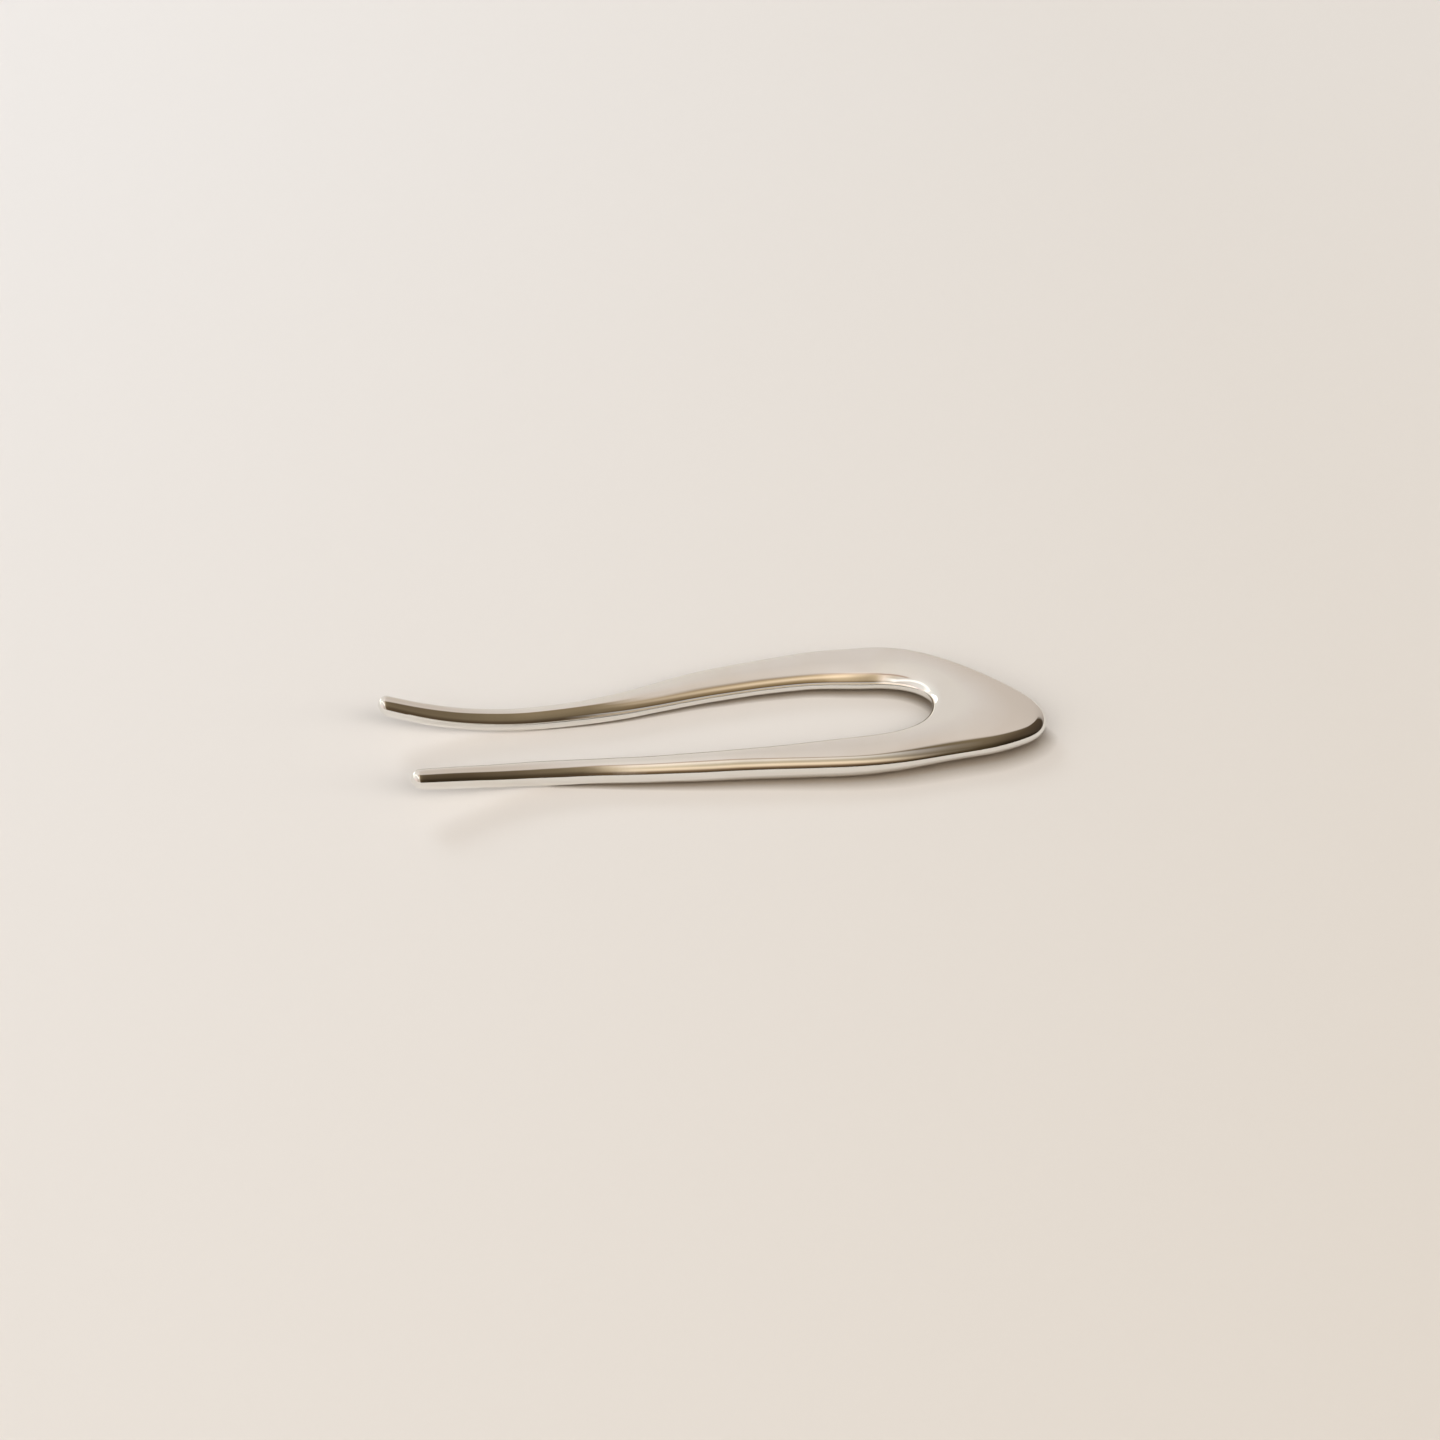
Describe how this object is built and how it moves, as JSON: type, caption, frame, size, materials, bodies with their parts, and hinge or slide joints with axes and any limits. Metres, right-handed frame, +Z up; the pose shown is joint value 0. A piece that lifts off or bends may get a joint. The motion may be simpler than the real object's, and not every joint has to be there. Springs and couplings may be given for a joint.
{
  "type": "hair fork",
  "caption": "Polished silver hair fork that holds a bun: round prongs widen into flat legs, which join in a wide head with a pointed, leaning nose.",
  "frame": {"origin": "under the middle of the whole outline, on the surface that the fork lies on", "axes": "+X from the prong tips to the nose, +Y from the shorter prong to the longer one, +Z up from the surface"},
  "size_m": [0.1082, 0.0302, 0.0078],
  "materials": {
    "silver": "polished by hand, mirror bright with faint handling marks"
  },
  "bodies": {
    "root": {"fork": "silver"}
  },
  "joints": []
}
